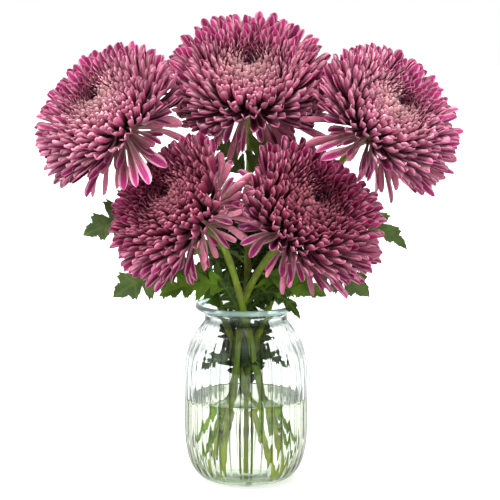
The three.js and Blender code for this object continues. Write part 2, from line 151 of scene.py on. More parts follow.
# Long loose petals of each bloom that hang or reach out under it: the tip, the breadth, and
# whether the face (1) or the back (-1) is turned to the front.
LONG_PETALS = [
    [
        (-155, -22, 248, 5.5, 1), (-146, -30, 247, 5, -1), (-135, -30, 243, 7.5, 1),
        (-124, -34, 233, 7, 1), (-122, -36, 247, 6, 1), (-115, -40, 254, 7.5, 1),
        (-108, -44, 260, 6.5, 1), (-98, -48, 257, 7, 1), (-93, -62, 242, 9, 1),
        (-83, -66, 245, 7.5, 1), (-74, -66, 247, 9.5, 1), (-60, -56, 259, 9.5, 1),
        (-64, -30, 281, 6.5, 1), (-50, -16, 288, 9, -1), (-59, -6, 298, 6.5, 1),
        (-158, -16, 262, 7, 1), (-152, -20, 260, 6.5, 1), (-44, -20, 275, 6, -1),
        (-54, -12, 292, 5.5, -1), (-70, -44, 268, 6, 1),
    ],
    [
        (-63, 8, 303, 6, -1), (-59, 2, 298, 5.5, -1), (-47, -2, 292, 6, -1),
        (-40, 0, 281, 4.5, 1), (-31, -4, 287, 5.5, 1), (-26, -8, 278, 6.5, 1),
        (-16, -12, 273, 7, 1), (-7, -14, 274, 6.5, 1), (13, -16, 274, 6.5, 1),
        (30, -10, 268, 5, -1), (43, -8, 269, 6.5, 1), (67, -4, 275, 8, -1),
        (79, 6, 289, 6, -1), (60, 10, 311, 7, -1), (67, 10, 300, 6, -1), (52, -6, 282, 5.5, 1),
        (-52, -4, 286, 5, -1), (36, -6, 280, 5.5, -1),
    ],
    [
        (42, -24, 293, 5, -1), (63, -40, 285, 7, 1), (46, -42, 275, 7.5, -1),
        (54, -54, 270, 7, 1), (57, -60, 265, 8.5, 1), (75, -50, 275, 7, 1),
        (78, -54, 267, 5.5, 1), (89, -48, 256, 6, 1), (97, -44, 253, 5, 1),
        (112, -40, 229, 7, 1), (107, -36, 262, 4.5, 1), (122, -36, 250, 5.5, 1),
        (132, -34, 236, 8, 1), (147, -30, 233, 6.5, 1), (146, -28, 245, 3.2, 1),
        (156, -26, 247, 6, -1), (163, -22, 250, 6, 1), (165, -20, 262, 7, -1),
        (168, -16, 273, 7, 1),
    ],
    [
        (-64, -84, 177, 7, 1), (-56, -82, 179, 5.5, 1), (-45, -80, 178, 6, 1),
        (-37, -76, 175, 7.5, 1), (-33, -72, 188, 6.5, -1), (-21, -62, 200, 5.5, 1),
        (-26, -58, 217, 6, 1), (-19, -60, 213, 5.5, 1), (2, -66, 204, 6.5, -1),
        (-11, -50, 216, 5, 1), (6, -56, 254, 6.5, -1), (0, -60, 248, 6, -1),
        (-3, -62, 240, 6.5, -1), (9, -62, 242, 6, -1), (-13, -54, 262, 6, -1),
        (3, -66, 230, 6.5, -1), (-9, -62, 252, 6, 1), (-14, -64, 228, 6, -1),
        (7, -68, 220, 6, -1), (-19, -52, 270, 5.5, -1),
    ],
    [
        (-11, -62, 232, 7, 1), (-15, -58, 226, 5, -1), (-4, -72, 202, 6, 1),
        (3, -76, 192, 7.5, 1), (27, -86, 179, 7.5, 1), (34, -84, 175, 6, 1),
        (29, -88, 200, 5.5, 1), (58, -86, 168, 7, 1), (79, -80, 176, 6, 1),
        (96, -72, 183, 5.5, 1), (103, -66, 193, 6.5, -1), (41, -90, 191, 5, 1),
    ],
]

# Radius and height of the upright petals' tips above the receptacle, from the eye outwards, how
# far apart the tips are at each radius, and how far the petals that end there bow outwards.
TIP_PROFILE = [
    (1, 42), (4, 44), (8, 48), (12, 51), (19, 50), (27, 49), (38, 50), (50, 49), (60, 44),
    (67, 34), (69, 22), (67, 10), (63, 0),
]
TIP_SPACING = [(1, 2.3), (8, 2.8), (15, 3.6), (30, 5.3), (50, 7.0), (69, 9.2)]
TIP_BULGE = [(1, 0.05), (8, 0.2), (15, 0.3), (25, 0.33), (38, 0.3), (50, 0.25), (69, 0.15)]
# How far a bloom's middle lies before its receptacle, and the reach that the profiles have.
BLOOM_MIDDLE = 20
FULL_REACH = 68
CORE_PROFILE = [(0, -4), (8, -4), (15, 3), (20, 13), (20, 23), (12, 31), (0, 33)]
CALYX_PROFILE = [
    (0, -19.3), (3, -19.3), (4, -16), (5.2, -11.8), (7.4, -8.2), (8.6, -5.8), (8.8, -4.6),
    (0, -4.4)]
GOLDEN_ANGLE = math.radians(137.508)
# The petals' roots lie on a ball of this radius, from its top down to this angle.
ROOTS_RADIUS = 8
ROOTS_DOWN_TO = math.radians(105)

# Stage: half the floor's side; each lamp's place, target, size in metres and power setting; the
# ways to the bright window and to the wide light above; how far from the back the side walls and
# the dark front begin, in degrees; the camera, its focal length as a share of the picture's
# width; and how often light may bounce.
FLOOR_REACH = 5000
LAMPS = [
    ("key_light", (-900, -1100, 1300), (0, 0, 180), 1.0, "lamp"),
    ("low_light", (500, -1300, 160), (0, 0, 110), 0.8, "low_lamp"),
]
WINDOW_WAY = (-0.8, -0.55, 0.35)
KEY_WAY = (-0.14, 0.12, 0.97)
WALLS_FROM = (34, 56)
FRONT_FROM = (110, 150)
CAMERA_PLACE = (3.2, -1600, 438.5)
CAMERA_TARGET = (3.2, 0, 186.2)
FOCAL_SHARE = 2030 / 500
LIGHT_BOUNCES = {"max_bounces": 24, "transmission_bounces": 24, "transparent_max_bounces": 24,
                 "diffuse_bounces": 5, "glossy_bounces": 8}


# ---- sizes and colours a user may change

def paint(red, green, blue):
    """A screen colour, 0 to 255, as the linear colour that shaders take."""
    shares = (red / 255, green / 255, blue / 255)
    return tuple(c / 12.92 if c <= 0.04045 else ((c + 0.055) / 1.055) ** 2.4 for c in shares)


def colour(name, description, red, green, blue):
    return bpy.props.FloatVectorProperty(
        name=name, description=description, subtype="COLOR", size=3, min=0, max=1,
        default=paint(red, green, blue))


def length(name, description, millimetres):
    return bpy.props.FloatProperty(
        name=name, description=description, default=millimetres * MM, min=0, precision=4,
        subtype="DISTANCE", unit="LENGTH")


def amount(name, description, default, low, high):
    return bpy.props.IntProperty(
        name=name, description=description, default=default, min=low, max=high)


def share(name, description, default, high=1.0):
    return bpy.props.FloatProperty(
        name=name, description=description, default=default, min=0, max=high, subtype="FACTOR")


def power(name, description, watts):
    return bpy.props.FloatProperty(
        name=name, description=description, default=watts, min=0, unit="POWER")


class JarSettings(bpy.types.PropertyGroup):
    rib_count: amount("Ribs", "Upright ribs round the jar", 36, 8, 72)
    rib_depth: length("Rib depth", "Depth of the grooves between the ribs", 0.26)
    tint: colour("Tint", "Colour of the glass", 248, 252, 250)
    thick: colour("Thick glass", "Colour of the glass seen through its edges", 98, 112, 106)
    lip: colour("Lip", "Colour of the lip and the base", 214, 251, 240)


class WaterSettings(bpy.types.PropertyGroup):
    level: length("Level", "Height of the water above the table", 67.5)
    tint: colour("Tint", "Colour of the water", 250, 252, 233)


class StemSettings(bpy.types.PropertyGroup):
    radius: length("Radius", "Radius of a stem", 2.8)
    bracts: amount("Bracts", "Green bracts round each calyx", 34, 0, 80)
    dry: colour("Green", "Colour of the stems above the water", 116, 146, 32)
    # Painted light: the stems under water get a much lighter green, for the light that reaches
    # them through the glass.
    lit_under_water: colour("Green in water", "Colour of the stems under water", 202, 216, 86)


class LeafSettings(bpy.types.PropertyGroup):
    # The two darkest colours are painted shade: the upper faces of the leaves in the middle, under
    # the blooms.
    dark: colour("Dark leaves", "Upper face of the darkest leaves", 14, 32, 2)
    painted_shade: colour("Deep leaves", "Upper face of the leaves in the middle", 34, 58, 10)
    upper: colour("Upper face", "Upper face of the common leaves", 86, 110, 62)
    bright: colour("Bright leaves", "Upper face of the brightest leaves", 84, 122, 18)
    lower: colour("Lower face", "Colour of a leaf's lower face", 104, 128, 84)
    vein: colour("Veins", "Colour of the veins and stalks", 106, 132, 48)


class BloomSettings(bpy.types.PropertyGroup):
    petals: amount("Petals", "Upright petals of each bloom", 590, 50, 900)
    hanging: amount("Hanging petals", "Long petals under each bloom", 40, 0, 100)
    eye: colour("Eye", "Backs of the petals round the eye", 164, 124, 100)
    back: colour("Backs", "Backs of the middle petals", 190, 69, 123)
    outer_back: colour("Outer backs", "Backs of the outer petals", 206, 80, 150)
    hanging_back: colour("Hanging backs", "Backs of the hanging petals", 216, 118, 148)
    # Partly painted shade: the faces near the eye are darkened for the shade deep in the bloom,
    # besides their own deeper colour.
    shaded_inner_face: colour("Inner faces", "Faces of the petals near the eye", 106, 34, 50)
    face: colour("Faces", "Faces of the open petals", 184, 46, 120)
    deep_face: colour("Deep faces", "Faces of the hanging petals", 154, 34, 104)
    rim: colour("Rims", "Rims of the petals", 240, 184, 198)
    foot: colour("Feet", "Narrow feet of the hanging petals", 206, 156, 150)
    root: colour("Roots", "Where the hanging petals leave the receptacle", 176, 160, 70)


class StageSettings(bpy.types.PropertyGroup):
    floor: colour("Floor", "Colour of the floor", 218, 218, 218)
    floor_glow: share("Floor's own light", "Light that the floor gives to the camera", 0.45)
    lamp: power("Lamp", "Power of the lamp at the left", 14)
    low_lamp: power("Low lamp", "Power of the lamp at the jar's own height", 12)
    key: share("Light from above", "Brightness of the wide soft light above", 5.8, 10.0)
    sky: share("Light all round", "Brightness of the light from all sides", 0.4, 4.0)
    fill: share("Light from below", "Brightness of the light from below", 1.0, 4.0)
    walls: share("Side walls", "Brightness of the walls that the glass bends into view", 0.35)


# ---- node trees

def get(tree, kind, inputs=None, out=0, **settings):
    """The output of a new node. Each input is a value, or another node's output to link."""
    node = tree.nodes.new(kind)
    for name, value in settings.items():
        setattr(node, name, value)
    for name, value in (inputs or {}).items():
        if isinstance(value, Flow):
            tree.links.new(value.socket, node.inputs[name])
        else:
            node.inputs[name].default_value = value
    return Flow(tree, node.outputs[out])


class Flow:
    """What comes out of a node, for further nodes to reckon with."""

    def __init__(self, tree, socket):
        self.tree = tree
        self.socket = socket

    def math(self, operation, *others):
        inputs = dict(enumerate((self, *others)))
        return get(self.tree, "ShaderNodeMath", inputs, operation=operation)

    def __mul__(self, other):
        return self.math("MULTIPLY", other)

    def __add__(self, other):
        return self.math("ADD", other)

    def less(self, share):
        """One, less so much of this."""
        return self.math("MULTIPLY_ADD", -share, 1.0)

    def or_more(self, other):
        return self.math("MAXIMUM", other)

    def ease(self, low, high, start=0.0, end=1.0):
        """Eased from start to end as this goes from low to high."""
        return get(self.tree, "ShaderNodeMapRange", {
            "Value": self, "From Min": low, "From Max": high, "To Min": start, "To Max": end,
        }, interpolation_type="SMOOTHSTEP")

    def ramp(self, stops):
        """The colour at this place between the stops."""
        colours = get(self.tree, "ShaderNodeValToRGB", {0: self})
        elements = colours.socket.node.color_ramp.elements
        while len(elements) < len(stops):
            elements.new(1)
        for element, (place, tone) in zip(elements, stops):
            element.position = place
            element.color = opaque(tone)
        return colours

    def tinted(self, tint):
        """This colour times another."""
        return blend(1.0, self, tint, "MULTIPLY")

    def vector(self, operation, other=None, scale=None, out=0):
        inputs = {0: self, 1: other, "Scale": scale}
        inputs = {name: value for name, value in inputs.items() if value is not None}
        return get(self.tree, "ShaderNodeVectorMath", inputs, out, operation=operation)

    def split(self):
        """The three numbers of this vector."""
        node = get(self.tree, "ShaderNodeSeparateXYZ", {0: self}).socket.node
        return [Flow(self.tree, socket) for socket in node.outputs]


def opaque(value):
    return value if isinstance(value, Flow) else (*value[:3], 1)


def blend(factor, first, second, kind="MIX"):
    """The colour between two colours."""
    tree = next(value.tree for value in (factor, first, second) if isinstance(value, Flow))
    inputs = {0: factor, 6: opaque(first), 7: opaque(second)}
    return get(tree, "ShaderNodeMix", inputs, 2, data_type="RGBA", blend_type=kind)


class Finish:
    """A material with one shader; the constants go on the shader's own sockets."""

    def __init__(self, name, **constants):
        self.material = bpy.data.materials.new(name)
        self.material.use_nodes = True
        self.tree = self.material.node_tree
        self.shader = next(n for n in self.tree.nodes if n.type == "BSDF_PRINCIPLED")
        for label, value in constants.items():
            self.shader.inputs[label.replace("_", " ")].default_value = value

    def spot(self):
        """The place in the frame, in metres."""
        return get(self.tree, "ShaderNodeTexCoord", out="Object")

    def noise(self, scale, detail=3.0, stretch=(1, 1, 1)):
        """Noise over the place in the frame; scale is cells for each metre."""
        turned = get(self.tree, "ShaderNodeMapping", {"Vector": self.spot(), "Scale": stretch})
        inputs = {"Vector": turned, "Scale": scale, "Detail": detail}
        return get(self.tree, "ShaderNodeTexNoise", inputs)

    def carried(self, *names):
        """Numbers that the mesh carries at its points."""
        return [get(self.tree, "ShaderNodeAttribute", out="Fac", attribute_name=name)
                for name in names]

    def ray(self, kind):
        return get(self.tree, "ShaderNodeLightPath", out=f"Is {kind} Ray")

    def bump(self, relief, distance, strength=1.0):
        inputs = {"Height": relief, "Distance": distance, "Strength": strength}
        return get(self.tree, "ShaderNodeBump", inputs)

    def wire(self, **sources):
        """Links sources to the shader's sockets and gives the material out."""
        for label, source in sources.items():
            self.tree.links.new(source.socket, self.shader.inputs[label.replace("_", " ")])
        return self.material


def clear_finish(name, tint, ior, relief_scale, relief):
    """Glass or water: clear, with a soft relief, and open to the lamps' shadow rays."""
    clear = Finish(name, Transmission_Weight=1.0, IOR=ior, Roughness=0.0,
                   Base_Color=opaque(tint))
    clear.wire(Normal=clear.bump(clear.noise(relief_scale, 1.0), relief))
    both = get(clear.tree, "ShaderNodeMixShader", {
        0: clear.ray("Shadow"), 1: Flow(clear.tree, clear.shader.outputs[0]),
        2: get(clear.tree, "ShaderNodeBsdfTransparent", {"Color": opaque(tint)})})
    out = next(n for n in clear.tree.nodes if n.type == "OUTPUT_MATERIAL")
    clear.tree.links.new(both.socket, out.inputs[0])
    return clear


def glass_finish(look):
    """Clear glass, greyer seen edge on, in the thick neck and along the grooves of its ribs."""
    glass = clear_finish("jar_glass", look.tint, ior=1.5, relief_scale=45, relief=0.00025)
    edge = get(glass.tree, "ShaderNodeLayerWeight", {"Blend": 0.5}, "Facing").ease(0.5, 1)
    x, y, z = glass.spot().split()
    wave = (y.math("ARCTAN2", x) * float(look.rib_count)).math("COSINE")
    ribbed = z.ease(0.006, 0.02) * z.ease(0.114, 0.124, 1, 0)
    groove = wave.ease(-1, -0.84, 0.76, 0) * ribbed
    neck = z.ease(0.1265, 0.1295, 0, 0.8) * z.ease(0.131, 0.136, 1, 0)
    body = blend(edge.or_more(groove.or_more(neck)), look.tint, look.thick)
    lip = z.ease(0.138, 0.1418)
    base = z.ease(0.002, 0.008, 0.6, 0)
    tinted = lip.or_more(base)
    return glass.wire(Base_Color=blend(tinted, body, look.lip),
                      Transmission_Weight=tinted.ease(0, 1, 1, 0.66))


def petal_finish(look):
    """Petals by their order from the eye (0) outwards (1), the hanging ones past it, and by the
    place on each: along it, across it, and whether its face or its back is turned up."""
    velvet = Finish("petal_velvet", Roughness=0.6, Sheen_Weight=0.03, Sheen_Roughness=0.4,
                    Specular_IOR_Level=0.22)
    along, across, side, order, chance, deeper_shaded_middle = velvet.carried(
        "petal_along", "petal_across", "petal_side", "petal_order", "petal_chance",
        "petal_late")
    veins = (across * 16.0).math("SINE")
    hanging = order.ease(1, 1.15)
    opened = side.ease(-0.2, 0.3)
    past_eye = order.ease(0.03, 0.3)

    middle_back = [0.62 * a + 0.38 * b for a, b in zip(look.eye, look.back)]
    back = order.ramp([
        (0.0, [0.12 * c for c in look.eye]), (0.03, [0.25 * c for c in look.eye]),
        (0.07, look.eye), (0.2, middle_back), (0.42, look.back), (0.95, look.outer_back)])
    back = blend(along.ease(0.85, 1, 0, 0.4) * order.ease(0.03, 0.3, 1.1, 0.8), back,
                 look.rim)
    back = blend(hanging, back, look.hanging_back)
    back = blend(veins.ease(-1, 1, 0, 0.24), back, look.rim)

    face = blend(chance.ease(0.2, 0.9), look.face, look.outer_back)
    # Faces near the eye are darker: partly their own colour, partly painted shade deep in the
    # bloom.
    face = blend(order.ease(0.1, 0.5), look.shaded_inner_face, face)
    face = blend(hanging, face, look.deep_face)
    face = blend(veins.ease(-1, 1, 0, 0.25), face, look.back)
    face = blend(along.ease(0.8, 1, 0, 0.4), face, look.outer_back)

    foot = blend(along.ease(0, 0.14), look.root, look.foot)
    footed = blend((veins * 0.08 + along).ease(0.84, 0.42) * (hanging * 0.92),
                   blend(opened, back, face), foot)
    rim_width = order.ease(0.9, 1.15, 0.1, 0.12) + opened * 0.18
    rim = (across.math("ABSOLUTE") + rim_width).ease(0.72, 1.02, 0, 0.8) * past_eye
    rimmed = blend(rim, footed, look.rim)

    # Painted shade: petals are darker towards the foot, for the shade in the gaps between them,
    # and darker in the middle of the two lower blooms, partly their own deeper colour and partly
    # painted shade from the blooms above.
    # Painted shade in the gaps: darkest over the lower half of each petal, none at the tip and
    # none on the hanging petals.
    painted_shade = along.ease(0.5, 0.95, 0.42, 1).or_more(order.ease(0.9, 1.15))
    # The middle of a lower bloom: partly its own deeper colour, partly painted shade from the
    # blooms above; less of it at the petals' tips.
    middle_colour_and_shade = order.ease(0.25, 0.95, 0.62, 0) * deeper_shaded_middle * along.ease(0.9, 1, 1, 0.7)
    shade = middle_colour_and_shade.less(1.0) * (painted_shade * chance.ease(0, 1, 0.66, 1.08))
    tone = shade * velvet.noise(260).ease(0.3, 0.7, 0.9, 1.08)
    warm = get(velvet.tree, "ShaderNodeCombineColor", {
        0: tone, 1: tone.math("POWER", 1.3) * middle_colour_and_shade.less(0.7),
        2: tone.math("POWER", 1.15) * middle_colour_and_shade.less(0.5)})
    return velvet.wire(Base_Color=rimmed.tinted(warm), Roughness=veins.ease(-1, 1, 0.5, 0.64),
                       Normal=velvet.bump(veins, 0.00012, 0.6))


def core_finish(look):
    core = Finish("bloom_core", Roughness=0.8)
    return core.wire(Base_Color=blend(core.noise(300), [0.25 * c for c in look.eye], look.eye),
                     Normal=core.bump(core.noise(900), 0.0004))


def under_water(finish):
    """1 where the piece is under water."""
    return finish.spot().split()[2].ease(0.06, 0.072, 1, 0)


def stem_finish(look):
    skin = Finish("stem_skin", Roughness=0.45, Specular_IOR_Level=0.4)
    # Painted light: a lighter green under water than above it.
    green = blend(under_water(skin), look.dry, look.lit_under_water)
    streaks = skin.noise(700, 2.0, (1, 1, 0.05))
    streaked = blend(streaks.ease(0.4, 0.75, 0, 0.7), green,
                     blend(0.5, green, paint(184, 198, 112)))
    scar, = skin.carried("stem_scar")
    return skin.wire(Base_Color=blend(scar, streaked, paint(112, 98, 48)),
                     Roughness=streaks.ease(0.3, 0.7, 0.36, 0.55),
                     Normal=skin.bump(streaks, 0.0004))


def bract_finish(look):
    skin = Finish("bract_skin", Roughness=0.5)
    along, = skin.carried("petal_along")
    green = along.ramp([(0.0, look.dry), (0.7, paint(84, 112, 52)), (1.0, paint(150, 158, 96))])
    veins = skin.noise(500)
    return skin.wire(Base_Color=blend(veins.ease(0.3, 0.7, 0, 0.4), green, paint(58, 84, 40)),
                     Normal=skin.bump(veins, 0.0002))


def leaf_finish(look):
    skin = Finish("leaf_blade", Specular_IOR_Level=0.28)
    vein, under, stalk, tone = skin.carried("leaf_vein", "leaf_under", "leaf_stalk", "leaf_tone")
    # Each leaf's green by its tone: the darker tones hold painted shade, the lighter ones painted
    # light, besides the leaves' own greens.
    green = tone.ramp([
        (0.0, look.dark), (0.2, look.painted_shade), (0.5, look.upper), (1.0, look.bright)])
    # Painted light: leaves under water are made much lighter, for the light that reaches them
    # through the glass.
    green = blend(under_water(skin), green, green.tinted((3.2, 2.5, 2.2)))
    patch = skin.noise(55, 4.0).ease(0.3, 0.7)
    upper = blend(patch, green.tinted((0.62, 0.66, 0.6)), green.tinted((1.45, 1.4, 1.3)))
    upper = blend(vein * 0.8, upper, blend(0.5, upper, look.vein))
    lower = blend(patch, look.lower, [0.75 * c for c in look.lower])
    lower = blend(vein * 0.5, lower, look.vein)
    grain = skin.noise(900)
    blade = blend(under.ease(0.4, 0.6), upper, lower)
    return skin.wire(Base_Color=blend(stalk, blade, look.vein),
                     Roughness=grain.ease(0.3, 0.7, 0.34, 0.52),
                     Normal=skin.bump(grain, 0.00025))


def floor_finish(look):
    """A matt floor that gives the camera a little light of its own, as a light table does."""
    floor = Finish("studio_floor", Roughness=0.9, Emission_Color=(1, 1, 1, 1))
    tone = floor.noise(30).ease(0.3, 0.7, 0, 0.06)
    return floor.wire(Base_Color=blend(tone, look.floor, [0.9 * c for c in look.floor]),
                      Emission_Strength=floor.ray("Camera") * look.floor_glow)


# ---- shapes

def spline(points, steps=24):
    """A smooth line through the points (Catmull-Rom), with so many steps between two of them."""
    p = np.array(points, float)
    p = np.vstack([2 * p[0] - p[1], p, 2 * p[-1] - p[-2]])
    t = np.linspace(0, 1, steps, endpoint=False)[:, None]
    rows = []
    for a, b, c, d in zip(p, p[1:], p[2:], p[3:]):
        rows.append(0.5 * (2 * b + (c - a) * t + (2 * a - 5 * b + 4 * c - d) * t ** 2
                           + (3 * b - a - 3 * c + d) * t ** 3))
    return np.vstack([*rows, p[-2:-1]])


def unit(vector):
    vector = np.asarray(vector, float)
    return vector / np.linalg.norm(vector, axis=-1, keepdims=True)


def bezier(points, t):
    """Points and directions of a Bezier line of three or four points."""
    points = np.array(points, float)
    t = np.asarray(t, float)[:, None]
    slope = (len(points) - 1) * np.diff(points, axis=0)

    def at(p):
        while len(p) > 1:
            p = [a + (b - a) * t for a, b in zip(p, p[1:])]
        return p[0]
    return at(list(points)), at(list(slope))


def chain(first, count):
    """Edges that join so many points in a row."""
    return [(first + k, first + k + 1) for k in range(count - 1)]


def new_piece(name, points, edges, faces, carry):
    """An object from points in millimetres; carry gives numbers or vectors held at its points."""
    mesh = bpy.data.meshes.new(name)
    mesh.from_pydata([tuple(p) for p in np.asarray(points) * MM], edges, faces)
    for label, values in carry.items():
        values = np.asarray(values, np.float32)
        kind, field = ("FLOAT", "value") if values.ndim == 1 else ("FLOAT_VECTOR", "vector")
        mesh.attributes.new(label, kind, "POINT").data.foreach_set(field, values.ravel())
    piece = bpy.data.objects.new(name, mesh)
    bpy.context.scene.collection.objects.link(piece)
    return piece


def mesh_piece(name, points, faces, material=None, carry=None, smooth=True):
    """A closed mesh piece, its faces turned outward."""
    piece = new_piece(name, points, [], faces, carry or {})
    mesh = piece.data
    work = bmesh.new()
    work.from_mesh(mesh)
    bmesh.ops.recalc_face_normals(work, faces=work.faces)
    work.to_mesh(mesh)
    work.free()
    mesh.polygons.foreach_set("use_smooth", [smooth] * len(mesh.polygons))
    mesh.update()
    if material:
        mesh.materials.append(material)
    return piece


def lathe(profile, segments):
    """Points and faces of a turned body; the profile starts and ends on the axis."""
    profile = np.array(profile, float)
    inner = profile[1:-1]
    turn = np.linspace(0, 2 * math.pi, segments, endpoint=False)
    rings = np.empty((len(inner), segments, 3))
    rings[..., 0] = inner[:, :1] * np.cos(turn)
    rings[..., 1] = inner[:, :1] * np.sin(turn)
    rings[..., 2] = inner[:, 1:]
    points = np.vstack([rings.reshape(-1, 3), [[0, 0, profile[0, 1]], [0, 0, profile[-1, 1]]]])
    first, last = len(points) - 2, len(points) - 1
    top = (len(inner) - 1) * segments
    faces = []
    for j in range(segments):
        k = (j + 1) % segments
        faces.append((first, k, j))
        for a in range(0, top, segments):
            faces.append((a + j, a + k, a + segments + k, a + segments + j))
        faces.append((top + j, top + k, last))
    return points, faces


def run_nodes(piece, tree, values):
    """Runs a node tree on the piece and keeps the result as its plain mesh."""
    modifier = piece.modifiers.new(tree.name, "NODES")
    modifier.node_group = tree
    sockets = {s.name: s.identifier for s in tree.interface.items_tree if s.in_out == "INPUT"}
    for label, value in values.items():
        modifier[sockets[label]] = value
    bpy.context.view_layer.update()
    result = bpy.data.meshes.new_from_object(
        piece.evaluated_get(bpy.context.evaluated_depsgraph_get()))
    piece.modifiers.remove(modifier)
    piece.data = result
    result.name = piece.name
    return piece


class Growth:
    """A geometry node tree with a geometry, a material and further named inputs."""

    def __init__(self, name, **sockets):
        self.tree = bpy.data.node_groups.new(name, "GeometryNodeTree")
        sides = self.tree.interface
        for label, kind in {"Geometry": "Geometry", **sockets, "Material": "Material"}.items():
            sides.new_socket(label.replace("_", " "), in_out="INPUT",
                             socket_type="NodeSocket" + kind)
        sides.new_socket("Geometry", in_out="OUTPUT", socket_type="NodeSocketGeometry")
        self.inputs = self.tree.nodes.new("NodeGroupInput").outputs

    def given(self, label):
        return Flow(self.tree, self.inputs[label])

    def held(self, name, kind="FLOAT"):
        """What the points carry under a name."""
        return get(self.tree, "GeometryNodeInputNamedAttribute", {"Name": name}, data_type=kind)

    def spot(self):
        return get(self.tree, "GeometryNodeInputPosition")

    def moved(self, geometry, **how):
        """The geometry with each point at its Position, or moved by its Offset."""
        return get(self.tree, "GeometryNodeSetPosition", {"Geometry": geometry, **how})

    def ring(self, radius):
        """A round profile."""
        inputs = {"Resolution": self.given("Section Points"), "Radius": radius}
        return get(self.tree, "GeometryNodeCurvePrimitiveCircle", inputs)

    def lines(self):
        """The given edges as curves."""
        return get(self.tree, "GeometryNodeMeshToCurve", {"Mesh": self.given("Geometry")})

    def skin(self, lines, profile, scale):
        """A closed skin along the lines."""
        return get(self.tree, "GeometryNodeCurveToMesh", {
            "Curve": lines, "Profile Curve": profile, "Scale": self.held(scale),
            "Fill Caps": True})

    def soft(self, geometry):
        return get(self.tree, "GeometryNodeSetShadeSmooth", {"Geometry": geometry})

    def done(self, geometry):
        """The tree, ended: instances made real, material set, result given out."""
        real = get(self.tree, "GeometryNodeRealizeInstances", {"Geometry": geometry})
        inputs = {"Geometry": real, "Material": self.given("Material")}
        skinned = get(self.tree, "GeometryNodeSetMaterial", inputs)
        out = self.tree.nodes.new("NodeGroupOutput")
        self.tree.links.new(skinned.socket, out.inputs[0])
        return self.tree


def rib_tree():
    """Presses upright ribs into a turned jar, where the points' rib_share allows them."""
    ribs = Growth("pressed_ribs", Rib_Count="Int", Rib_Depth="Float")
    spot = ribs.spot()
    x, y, _ = spot.split()
    wave = (y.math("ARCTAN2", x) * ribs.given("Rib Count")).math("COSINE")
    dip = wave.math("MULTIPLY_ADD", -0.5, 0.5).math("POWER", 1.6)
    depth = dip * ribs.given("Rib Depth") * ribs.held("rib_share")
    outward = spot.vector("MULTIPLY", (1, 1, 0)).vector("NORMALIZE")
    inward = outward.vector("SCALE", scale=depth * -1.0)
    return ribs.done(ribs.moved(ribs.given("Geometry"), Offset=inward))


def petal_tree():
    """Grows a petal along each midrib: a lens-shaped section that is cupped to the face's side."""
    petals = Growth("petals_on_midribs", Section_Points="Int", Thickness="Float")
    facing = petals.held("petal_facing", "FLOAT_VECTOR")
    lines = get(petals.tree, "GeometryNodeSetCurveNormal", {
        "Curve": petals.lines(), "Normal": facing}, mode="FREE")
    ring = petals.ring(1.0)
    x, y, _ = petals.spot().split()
    for label, source in (("petal_side", x), ("petal_across", y)):
        ring = get(petals.tree, "GeometryNodeStoreNamedAttribute", {
            "Geometry": ring, "Name": label, "Value": source}, data_type="FLOAT",
            domain="POINT")
    thin = get(petals.tree, "ShaderNodeCombineXYZ", {0: x * petals.given("Thickness"), 1: y})
    skin = petals.skin(lines, petals.moved(ring, Position=thin), "petal_half_width")
    across = petals.held("petal_across")
    lift = across * across * (petals.held("petal_cup") * petals.held("petal_half_width"))
    cupped = petals.moved(skin, Offset=facing.vector("SCALE", scale=lift))
    return petals.done(petals.soft(cupped))


def stem_tree():
    """Draws a ribbed stem along its path; the points carry how thick it is."""
    stem = Growth("stem_on_path", Section_Points="Int", Radius="Float", Ridges="Int",
                  Ridge_Share="Float")
    spot = stem.spot()
    x, y, _ = spot.split()
    wave = (y.math("ARCTAN2", x) * stem.given("Ridges")).math("COSINE")
    swell = wave.math("MULTIPLY_ADD", stem.given("Ridge Share"), 1.0)
    ridged = stem.moved(stem.ring(stem.given("Radius")),
                        Position=spot.vector("SCALE", scale=swell))
    return stem.done(stem.soft(stem.skin(stem.lines(), ridged, "stem_swell")))


# ---- the flowers' geometry

class Bloom:
    """Frame of one bloom: its receptacle, its axis and two directions square to it."""

    def __init__(self, flower):
        self.origin = np.array(flower["at"], float)
        self.axis = unit(flower["facing"])
        self.side = unit(np.cross((0, 0, 1), self.axis))
        self.over = np.cross(self.axis, self.side)
        self.middle = self.origin + BLOOM_MIDDLE * self.axis
        self.reach = flower["reach"]
        self.size = self.reach / FULL_REACH
        self.deeper_shaded_middle = flower.get("deeper_shaded_middle", 0)
        self.trim = flower.get("trim", (0, 0, 1))

    def radial(self, angle):
        """The way out from the axis at an angle."""
        return math.cos(angle) * self.side + math.sin(angle) * self.over

    def placed(self, points):
        """Points of the bloom's own frame, in the whole's."""
        x, y, z = np.asarray(points, float).T
        return (self.origin + np.outer(x, self.side) + np.outer(y, self.over)
                + np.outer(z, self.axis))


BLOOMS = [Bloom(flower) for flower in FLOWERS]
PARTING_CLEAR = 0.5
PARTING_MARGIN = 4.0
PARTING_REACH = 10


def partings(bloom):
    """Planes that part a bloom from its neighbours: a normal on its own side, and a level."""
    planes = []
    for other in BLOOMS:
        away = bloom.middle - other.middle
        apart = np.linalg.norm(away)
        if other is bloom or apart > bloom.reach + other.reach + PARTING_REACH:
            continue
        own = (apart ** 2 + bloom.reach ** 2 - other.reach ** 2) / (2 * apart)
        normal = away / apart
        planes.append((normal, normal @ bloom.middle - own))
    return planes


def bend_clear(points, planes):
    """Bends points back from the partings."""
    span = PARTING_MARGIN - PARTING_CLEAR
    for normal, level in planes:
        depth = points @ normal - level
        shift = PARTING_CLEAR + span * np.exp((depth - PARTING_MARGIN) / span) - depth
        points = points + np.where(depth < PARTING_MARGIN, shift, 0)[:, None] * normal
    return points


def read_off(table, value):
    """The table's second column at a value of its first."""
    return np.interp(value, *np.array(table, float).T)


